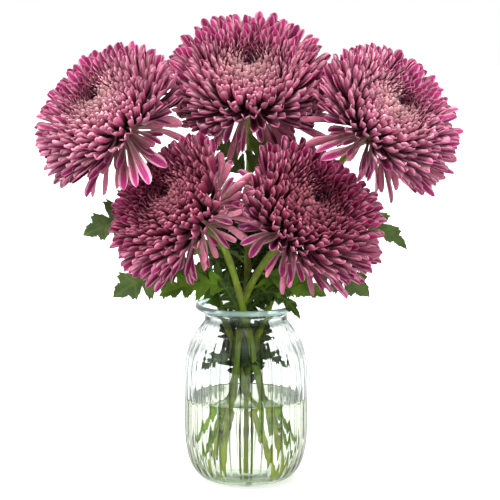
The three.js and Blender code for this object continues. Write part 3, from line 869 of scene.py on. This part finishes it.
def tips_by_area(count):
    """Points of the tip profile, closer together near the eye, and the share of each."""
    line = spline(TIP_PROFILE)
    step = np.linalg.norm(np.diff(line, axis=0), axis=1)
    radius = 0.5 * (line[1:, 0] + line[:-1, 0])
    swept = np.cumsum(step * radius / read_off(TIP_SPACING, radius) ** 2)
    swept = np.concatenate([[0], swept]) / swept[-1]
    wanted = (np.arange(count) + 0.5) / count
    return wanted, np.column_stack([np.interp(wanted, swept, line[:, k]) for k in (0, 1)])


# Rings of a petal: share of the length, and share of the width there.
UPRIGHT_RINGS = np.array([
    (0, 0.3), (0.25, 0.42), (0.5, 0.64), (0.7, 0.84), (0.84, 0.98), (0.925, 1), (0.965, 0.86),
    (0.988, 0.56), (1, 0.2)])
HANGING_RINGS = np.array([
    (0, 0.4), (0.2, 0.36), (0.4, 0.44), (0.56, 0.64), (0.7, 0.88), (0.83, 1), (0.93, 0.88),
    (0.98, 0.56), (1, 0.16)])


def joined(parts):
    """The places of all the parts' points, and the numbers that the points carry."""
    carry = {label: np.concatenate([part[label] for part in parts]) for label in parts[0]}
    return carry.pop("place"), carry


class Petals:
    """Collects midribs with the numbers that their points carry."""

    def __init__(self, deeper_shaded_middle=0):
        self.deeper_shaded_middle = deeper_shaded_middle
        self.midribs = []

    def add(self, place, facing, half_width, cup, along, order, chance):
        """A midrib in millimetres; cup, order and chance may be one number for all its points."""
        midrib = {
            "place": place, "petal_facing": facing, "petal_half_width": half_width * MM,
            "petal_cup": cup, "petal_along": along, "petal_order": order,
            "petal_chance": chance, "petal_late": self.deeper_shaded_middle}
        self.midribs.append({label: value if np.ndim(value) else np.full(len(place), value)
                             for label, value in midrib.items()})

    def grow(self, name, material, thickness=0.1):
        """One mesh of all the petals."""
        edges, first = [], 0
        for midrib in self.midribs:
            edges += chain(first, len(midrib["place"]))
            first += len(midrib["place"])
        place, carry = joined(self.midribs)
        return run_nodes(new_piece(name, place, edges, [], carry), petal_tree(), {
            "Section Points": 8, "Thickness": thickness, "Material": material})


def petal_line(bloom, planes, start, tip, bulge, angle, rings, sag, sway, hook):
    """Midrib points of a petal in the plane of its angle, and the way its face looks."""
    radial = bloom.radial(angle)
    across = np.cross(bloom.axis, radial)
    chord = tip - start
    control = 0.5 * (start + tip) + bulge * np.array([chord[1], -chord[0]])
    flat, slope = bezier([start, control, tip], rings[:, 0])
    slope = unit(slope)
    face = -slope[:, 1:] * radial + slope[:, :1] * bloom.axis
    t = rings[:, :1]
    place = bloom.origin + bloom.size * (flat[:, :1] * radial + flat[:, 1:] * bloom.axis)
    place = place + across * (sway * t ** 2) + face * hook * np.clip((t - 0.7) / 0.3, 0, 1) ** 2
    place[:, 2] -= sag * rings[:, 0] ** 3
    return bend_clear(place, planes), face, across


def turned(face, across, twist):
    """Faces turned about the petal's length by so many radians at each ring."""
    return unit(face * np.cos(twist)[:, None] + across * np.sin(twist)[:, None])


def upright_petals(petals, bloom, look, random):
    """Petals that stand up from the receptacle, in one spiral."""
    planes = partings(bloom)
    t = UPRIGHT_RINGS[:, 0]
    for k, (order, tip) in enumerate(zip(*tips_by_area(look.petals))):
        angle = k * GOLDEN_ANGLE + random.uniform(-0.07, 0.07)
        radial = bloom.radial(angle)
        root = ROOTS_DOWN_TO * order
        start = np.array([ROOTS_RADIUS * math.sin(root),
                          ROOTS_RADIUS * (1 + math.cos(root)) + 1])
        end = tip * (1 + 0.05 * order ** 2) + random.normal(0, 1, 2) * (0.5 + 2.6 * order ** 2)
        sway, chance = random.normal(0, 0.5 + 2 * order), random.random()
        wide, spin = random.uniform(0.84, 1.12), random.normal(0, 0.3)
        curl, hook = random.uniform(-0.15, 0.2), random.uniform(0.7, 1.3)
        front = np.clip(-radial[1] / 0.8, 0, 1)
        if tip[1] < 3 + 36 * front ** 2.4 + random.normal(0, 4):
            continue
        place, face, across = petal_line(
            bloom, planes, start, end, bulge=read_off(TIP_BULGE, tip[0]), angle=angle,
            rings=UPRIGHT_RINGS, sag=3 * order ** 2, sway=sway, hook=hook * (2.4 - 1.6 * order))
        across_trim, over_trim, level = bloom.trim
        if across_trim * place[-1][0] + over_trim * place[-1][2] > level:
            continue
        width = (3.3 + 3.4 * min(1, order / 0.4)) * wide
        petals.add(place, turned(face, across, spin * t), 0.5 * width * UPRIGHT_RINGS[:, 1],
                   0.75 + 0.3 * t + curl, t, order, chance)


def long_petal(petals, bloom, tip, width, shown, random):
    """A loose petal that leaves the receptacle outwards and droops to its tip."""
    t = HANGING_RINGS[:, 0]
    away = np.array(tip, float) - bloom.origin
    out = unit(away - (away @ bloom.axis) * bloom.axis)
    start = bloom.origin + 7 * out + random.uniform(-1, 5) * bloom.axis
    span = np.linalg.norm(tip - start)
    bow = unit(out + random.uniform(0.0, 0.25) * bloom.axis)
    place, slope = bezier([start, start + 0.45 * span * bow, tip], t)
    slope = unit(slope)
    across = unit(np.cross(slope, 0.6 * bloom.axis + (0, -0.75, 0.25)))
    face = shown * np.cross(across, slope)
    twist = random.normal(0, 0.45) * t
    side = turned(face, across, twist)
    place = place + np.cross(slope, side) * (random.normal(0, 1.6) * np.sin(3.1 * t))[:, None]
    cup = random.uniform(0.3, 0.75) + 0.2 * t
    petals.add(place, side, 0.5 * width * HANGING_RINGS[:, 1], cup, t, 1.2, random.random())


def bloom_petals(bloom, look, loose, seed):
    random = np.random.default_rng(seed)
    petals = Petals(bloom.deeper_shaded_middle)
    upright_petals(petals, bloom, look, random)
    for x, y, z, width, shown in loose:
        long_petal(petals, bloom, (x, y, z), width, shown, random)
    for k in range(look.hanging):
        angle = (k + 0.37) * GOLDEN_ANGLE + random.uniform(-0.15, 0.15)
        radial = bloom.radial(angle)
        spread, drop = random.uniform(52, 68), random.uniform(0, 26)
        width, shown = random.uniform(5.5, 8), random.choice([-1, 1])
        if radial[1] < 0.1:
            spread, width = 0.78 * spread, 0.8 * width
        tip = bloom.origin + bloom.size * (spread * radial - (0, 0, drop * max(0, -radial[2])))
        long_petal(petals, bloom, tip, width, shown, random)
    return petals


def stem_path(flower, bloom):
    """Points of a stem from its foot to its bloom, evenly spaced, and their directions."""
    low = np.array([*flower["foot"], FOOT_LEVEL], float)
    high = np.array([*flower["neck"], NECK_LEVEL], float)
    top = bloom.origin + STEM_END * bloom.axis
    rise = unit(high - low)
    straight = low + np.outer(np.linspace(0, 1, 60, endpoint=False), high - low)
    bent, _ = bezier([high, high + rise * flower["pulls"][0],
                      top - bloom.axis * flower["pulls"][1], top], np.linspace(0, 1, 200))
    line = np.vstack([straight, bent])
    gone = np.concatenate([[0], np.cumsum(np.linalg.norm(np.diff(line, axis=0), axis=1))])
    even = np.linspace(0, gone[-1], int(gone[-1] / 3) + 1)
    return np.column_stack([np.interp(even, gone, line[:, k]) for k in range(3)])


def along_path(path, part):
    spot = part * (len(path) - 1)
    k = min(int(spot), len(path) - 2)
    return path[k] + (spot - k) * (path[k + 1] - path[k])


# Half outline of a leaf: where a vein or a notch leaves the midrib, and how far out it ends.
LEAF_LOBES = [(0.235, 0.215), (0.42, 0.30), (0.61, 0.235), (0.78, 0.15)]
LEAF_NOTCHES = [(0.13, 0.02), (0.325, 0.043), (0.515, 0.061), (0.70, 0.054), (0.87, 0.05)]
VEIN_LEAN = 0.58
LEAF_TEETH = 21.5


def leaf_outline(q):
    """Half width of a blade at each share of its midrib, as a share of its length."""
    stalk = 0.014 + 0.01 * np.clip((q - 0.08) / 0.05, 0, 1)
    out = np.where(q < 0.13, stalk, 0.0)
    for (a, low_a), (c, high), (b, low_b) in zip(LEAF_NOTCHES, LEAF_LOBES, LEAF_NOTCHES[1:]):
        before = low_a + (high - low_a) * (1 - np.clip((c - q) / (c - a), 0, 1) ** 1.7)
        after = low_b + (high - low_b) * (1 - np.clip((q - c) / (b - c), 0, 1) ** 2.6)
        out = np.where((q >= a) & (q < c), before, np.where((q >= c) & (q < b), after, out))
    end = 0.085 * (1 - np.clip((q - 0.87) / 0.13, 0, 1) ** 1.5)
    out = np.where(q >= 0.87, end, out)
    teeth = (q * LEAF_TEETH) % 1.0
    toothed = out * (1 + 0.21 * (teeth ** 1.5 - 0.4) * np.clip((q - 0.15) / 0.05, 0, 1))
    return np.maximum(toothed, 0.003)


def leaf_blade(base, tip, arch, breadth, front, tone, seed, columns=96, rows=15):
    """Faces of one leaf, and the places of its points with the numbers they carry."""
    random = np.random.default_rng(seed)
    base, tip = np.array(base, float), np.array(tip, float)
    span = np.linalg.norm(tip - base)
    control = 0.5 * (base + tip) + np.array([0, 0, 2 * arch])
    q = np.linspace(0, 1, columns)[:, None]
    s = np.linspace(-1, 1, rows)[None, :]
    lance = 0.32 * np.sin(math.pi * q ** 0.8) ** 0.8
    v = s * (leaf_outline(q) if breadth > LOBED_BREADTH else lance)
    u = np.clip(q + VEIN_LEAN * np.abs(v) * (1 - q) ** 0.3, 0, 1)
    rib, ahead = bezier([base, control, tip], u.ravel())
    ahead = unit(ahead)
    side = unit(np.cross(ahead, (0, -1.3 * front, 1)))
    up = np.cross(side, ahead)
    out = (v * span * breadth).ravel()
    veins = np.zeros_like(v)
    for place, _ in LEAF_LOBES:
        veins = np.maximum(veins, np.exp(-((q - place) / 0.011) ** 2) * (np.abs(s) < 0.93))
    for place, _ in LEAF_NOTCHES[1:4]:
        veins = np.maximum(veins, 0.45 * np.exp(-((q - place) / 0.008) ** 2)
                           * (np.abs(s) < 0.8))
    middle = np.exp(-(v * span / 0.9) ** 2)
    veins = np.maximum(veins, middle) * np.ones_like(v)
    phase = random.uniform(0, 6.3)
    wave = 5.0 * np.sin(13 * u + phase) * np.abs(v) + 16 * np.abs(v) ** 2 * random.normal(0, 0.6)
    curl = 0.2 * np.abs(out) + wave.ravel()
    relief = -0.55 * veins.ravel()
    blade = rib + side * out[:, None] + up * (curl + relief)[:, None]
    stalk = np.clip(1 - (q - 0.11) / 0.05, 0, 1) * np.ones_like(v)
    thick = (0.25 + 0.75 * stalk * (1 - 0.6 * s ** 2) + 0.28 * middle).ravel()
    faces = []
    lower = columns * rows
    for i in range(columns - 1):
        for j in range(rows - 1):
            a = i * rows + j
            faces.append((a, a + 1, a + rows + 1, a + rows))
            faces.append((lower + a, lower + a + rows, lower + a + rows + 1, lower + a + 1))
    walk = [i * rows for i in range(columns)]
    walk += [(columns - 1) * rows + j for j in range(1, rows)]
    walk += [i * rows + rows - 1 for i in range(columns - 2, -1, -1)]
    walk += [j for j in range(rows - 2, 0, -1)]
    for a, b in zip(walk, walk[1:] + walk[:1]):
        faces.append((a, b, lower + b, lower + a))
    return faces, {
        "place": np.vstack([blade + up * thick[:, None], blade - up * thick[:, None]]),
        "leaf_vein": np.tile(veins.ravel(), 2),
        "leaf_stalk": np.tile(stalk.ravel(), 2),
        "leaf_under": np.repeat([0.0, 1.0], lower),
        "leaf_tone": np.full(2 * lower, tone),
    }


def settle(piece, slot, *nodes):
    """The piece rides on the body and stands for the nodes, which are hidden; the slot is not
    used.
    """
    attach(piece, BODY)
    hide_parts(*nodes)
    return piece


# ---- operators

class FLOWERS_OT_jar(bpy.types.Operator):
    """Turn the glass jar and press its ribs"""
    bl_idname = "flowers.jar"
    bl_label = "Jar"

    def execute(self, context):
        look = context.scene.flower_jar
        profile = np.vstack([JAR_FOOT, spline(JAR_OUTSIDE, steps=6),
                             spline(JAR_INSIDE, steps=5), [(0, FLOOR_LEVEL)]])
        points, faces = lathe(profile, JAR_SEGMENTS)
        depth = read_off(RIB_SHARES, profile[1:-1, 1])
        rib_share = np.concatenate([np.repeat(depth, JAR_SEGMENTS), [0, 0]])
        piece = mesh_piece("jar_glass", points, faces, carry={"rib_share": rib_share})
        run_nodes(piece, rib_tree(), {"Rib Count": look.rib_count, "Rib Depth": look.rib_depth,
                                      "Material": glass_finish(look)})
        settle(piece, "jar_glass", "jar")
        return {"FINISHED"}


class FLOWERS_OT_water(bpy.types.Operator):
    """Fill the jar with water"""
    bl_idname = "flowers.water"
    bl_label = "Water"

    def execute(self, context):
        look = context.scene.flower_water
        level = look.level / MM
        wall = spline(JAR_INSIDE[::-1], steps=7)
        wall = wall[wall[:, 1] < level + 0.8]
        wetted = wall + [(0.25, -0.2)]
        edge = wetted[-1, 0]
        meniscus = [(edge - 0.6, level + 0.55), (edge - 1.4, level + 0.25),
                    (edge - 2.6, level + 0.06), (edge - 4.5, level), (edge * 0.6, level)]
        profile = np.vstack([[(0, FLOOR_LEVEL - 0.2)], wetted, meniscus, [(0, level)]])
        points, faces = lathe(profile, segments=180)
        water = clear_finish("jar_water", look.tint, ior=1.333, relief_scale=30, relief=0.0003)
        settle(mesh_piece("jar_water", points, faces, water.material), "water", "water")
        return {"FINISHED"}


class FLOWERS_OT_stems(bpy.types.Operator):
    """Grow the five stems, each with the calyx that holds its bloom"""
    bl_idname = "flowers.stems"
    bl_label = "Stems and Calyces"

    def execute(self, context):
        look = context.scene.flower_stems
        skin, bract_skin = stem_finish(look), bract_finish(look)
        for number, (flower, bloom) in enumerate(zip(FLOWERS, BLOOMS), 1):
            self.stem(look, skin, number, flower, bloom)
            self.calyx(look, bract_skin, number, bloom)
        return {"FINISHED"}

    def stem(self, look, skin, number, flower, bloom):
        path = stem_path(flower, bloom)
        part = np.linspace(0, 1, len(path))
        joints = [leaf[0] for leaf in LEAVES[number - 1]] + [0.06 + 0.02 * number, 0.22, 0.3]
        scar = np.zeros(len(path))
        for joint in joints:
            scar = np.maximum(scar, np.exp(-((part - joint) * len(path) / 1.1) ** 2))
        taper = np.interp(path[:, 2], *STEM_TAPER)
        piece = new_piece(f"stem_{number}_stalk", path, chain(0, len(path)), [], {
            "stem_swell": (0.97 + 0.16 * scar) * taper, "stem_scar": 0.5 * scar})
        run_nodes(piece, stem_tree(), {"Section Points": 24, "Radius": look.radius, "Ridges": 6,
                                       "Ridge Share": 0.045, "Material": skin})
        settle(piece, "greenery", f"stem_{number}")

    def calyx(self, look, skin, number, bloom):
        points, faces = lathe(CALYX_PROFILE, segments=24)
        cup_piece = mesh_piece(f"stem_{number}_cup", bloom.placed(points), faces, skin,
                               {"petal_along": np.clip((points[:, 2] + 19) / 30, 0, 1)})
        settle(cup_piece, "greenery", f"stem_{number}")
        bracts = Petals()
        random = np.random.default_rng(70 + number)
        for k in range(look.bracts):
            order = (k + 0.5) / look.bracts
            start = np.array([4 + 3.5 * (1 - order), -15 + 6 * (1 - order)])
            tip = np.array([10.5 - 2.0 * order, 1.5 - 9 * order]) + random.normal(0, 0.4, 2)
            place, face, _ = petal_line(
                bloom, [], start, tip, bulge=0.14, angle=k * GOLDEN_ANGLE, rings=UPRIGHT_RINGS,
                sag=0, sway=0, hook=0.4)
            bracts.add(place, face, 1.7 * UPRIGHT_RINGS[::-1, 1] ** 0.5, 0.35,
                       UPRIGHT_RINGS[:, 0], order, random.random())
        piece = bracts.grow(f"stem_{number}_bracts", skin, thickness=0.16)
        settle(piece, "greenery", f"stem_{number}")


class FLOWERS_OT_leaves(bpy.types.Operator):
    """Grow the lobed leaves on their stems"""
    bl_idname = "flowers.leaves"
    bl_label = "Leaves"

    def execute(self, context):
        skin = leaf_finish(context.scene.flower_leaves)
        for number, (flower, bloom) in enumerate(zip(FLOWERS, BLOOMS), 1):
            path = stem_path(flower, bloom)
            blades, faces, count = [], [], 0
            for k, (along, x, y, z, *form) in enumerate(LEAVES[number - 1]):
                its_faces, blade = leaf_blade(
                    along_path(path, along), (x, y, z), *form, 10 * number + k)
                faces += [tuple(count + v for v in face) for face in its_faces]
                count += len(blade["place"])
                blades.append(blade)
            place, carry = joined(blades)
            piece = mesh_piece(f"stem_{number}_leaves", place, faces, skin, carry)
            settle(piece, "greenery", f"stem_{number}")
        return {"FINISHED"}


class FLOWERS_OT_blooms(bpy.types.Operator):
    """Grow the five blooms, petal by petal in one spiral each"""
    bl_idname = "flowers.blooms"
    bl_label = "Blooms"

    def execute(self, context):
        look = context.scene.flower_blooms
        velvet, core_skin = petal_finish(look), core_finish(look)
        for number, bloom in enumerate(BLOOMS, 1):
            points, faces = lathe(CORE_PROFILE, segments=32)
            core = mesh_piece(f"bloom_{number}_core", bloom.placed(points * bloom.size), faces,
                              core_skin)
            settle(core, "petals", f"bloom_{number}")
            petals = bloom_petals(bloom, look, LONG_PETALS[number - 1], 40 + number).grow(
                f"bloom_{number}_petals", velvet)
            settle(petals, "petals", f"bloom_{number}")
        return {"FINISHED"}


class FLOWERS_OT_stage(bpy.types.Operator):
    """Lay the pale floor and set the soft lights and the camera"""
    bl_idname = "flowers.stage"
    bl_label = "Stage"

    def execute(self, context):
        scene, look = context.scene, context.scene.flower_stage
        corners = [(x, y, 0) for x, y in ((-1, -1), (1, -1), (1, 1), (-1, 1))]
        floor = mesh_piece("studio_floor", FLOOR_REACH * np.array(corners), [(0, 1, 2, 3)],
                           floor_finish(look), smooth=False)
        floor.visible_diffuse = False
        floor.visible_glossy = False
        for name, place, target, size, setting in LAMPS:
            self.lamp(name, place, target, size, getattr(look, setting))
        self.world(look)
        self.camera()
        scene.view_settings.view_transform = "Standard"
        for limit, count in LIGHT_BOUNCES.items():
            setattr(scene.cycles, limit, count)
        scene.cycles.caustics_refractive = False
        return {"FINISHED"}

    def aimed(self, name, data, place, target):
        thing = bpy.data.objects.new(name, data)
        thing.location = Vector(place) * MM
        way = Vector(target) - Vector(place)
        thing.rotation_euler = way.to_track_quat("-Z", "Y").to_euler()
        bpy.context.scene.collection.objects.link(thing)
        return thing

    def lamp(self, name, place, target, size, power):
        """A round soft lamp that the glass doesn't mirror or bend into view."""
        light = bpy.data.lights.new(name, "AREA")
        light.shape = "DISK"
        light.size = size
        light.energy = power
        lamp = self.aimed(name, light, place, target)
        lamp.visible_glossy = False
        lamp.visible_transmission = False

    def world(self, look):
        """White behind, grey walls and a dark front for the glass, a soft light from above."""
        world = bpy.data.worlds.new("studio")
        bpy.context.scene.world = world
        world.use_nodes = True
        tree = world.node_tree
        way = get(tree, "ShaderNodeTexCoord", out="Generated")
        x, y, z = way.split()

        def cone(target, outer, inner, strength):
            """Light from a cone round a way, between two angles in degrees."""
            near = way.vector("DOT_PRODUCT", unit(target), out="Value")
            return near.ease(*np.cos(np.radians((outer, inner))), 0, strength)

        def ray(kind):
            return get(tree, "ShaderNodeLightPath", out=f"Is {kind} Ray")

        def mix(factor, first, second):
            return get(tree, "ShaderNodeMix", {0: factor, 2: first, 3: second})

        turn = x.math("ABSOLUTE").math("ARCTAN2", y)
        walls = turn.ease(*np.radians(WALLS_FROM), 1, look.walls)
        front = turn.ease(*np.radians(FRONT_FROM), 0, look.walls - 0.08)
        room = walls.math("SUBTRACT", front) + cone(WINDOW_WAY, 17, 11, 0.7)
        room = room.or_more(z.ease(0.55, 0.8))
        soft = cone(KEY_WAY, 50, 22, look.key) + z.ease(-0.3, 0.1, look.fill, look.sky)
        seen = ray("Camera").or_more(ray("Glossy").or_more(ray("Transmission")))
        strength = mix(seen, soft, mix(ray("Camera"), room, 1.0))
        ground = next(n for n in tree.nodes if n.type == "BACKGROUND")
        ground.inputs["Color"].default_value = (1, 1, 1, 1)
        tree.links.new(strength.socket, ground.inputs["Strength"])

    def camera(self):
        lens = bpy.data.cameras.new("camera")
        lens.sensor_width = 36
        lens.lens = lens.sensor_width * FOCAL_SHARE
        lens.clip_end = 50
        bpy.context.scene.camera = self.aimed("camera", lens, CAMERA_PLACE, CAMERA_TARGET)


# ---- panel and registration

STEPS = (FLOWERS_OT_jar, FLOWERS_OT_water, FLOWERS_OT_stems, FLOWERS_OT_leaves,
         FLOWERS_OT_blooms, FLOWERS_OT_stage)
SETTINGS = {
    "flower_jar": JarSettings, "flower_water": WaterSettings, "flower_stems": StemSettings,
    "flower_leaves": LeafSettings, "flower_blooms": BloomSettings,
    "flower_stage": StageSettings,
}


class FLOWERS_PT_panel(bpy.types.Panel):
    """The steps of the bouquet, each under its own settings"""
    bl_label = "Chrysanthemums in a Jar"
    bl_space_type = "VIEW_3D"
    bl_region_type = "UI"
    bl_category = "Flowers"

    def draw(self, context):
        for step, (name, group) in zip(STEPS, SETTINGS.items()):
            box = self.layout.box()
            for label in group.__annotations__:
                box.prop(getattr(context.scene, name), label)
            box.operator(step.bl_idname)


def register():
    for group in SETTINGS.values():
        bpy.utils.register_class(group)
    for step in (*STEPS, FLOWERS_PT_panel):
        bpy.utils.register_class(step)
    for name, group in SETTINGS.items():
        setattr(bpy.types.Scene, name, bpy.props.PointerProperty(type=group))


def unregister():
    for name in SETTINGS:
        delattr(bpy.types.Scene, name)
    for step in (FLOWERS_PT_panel, *STEPS):
        bpy.utils.unregister_class(step)
    for group in SETTINGS.values():
        bpy.utils.unregister_class(group)


def main():
    register()
    bpy.ops.flowers.jar()
    bpy.ops.flowers.water()
    bpy.ops.flowers.stems()
    bpy.ops.flowers.leaves()
    bpy.ops.flowers.blooms()
    bpy.ops.flowers.stage()
    bpy.context.view_layer.update()


if __name__ == "__main__":
    main()
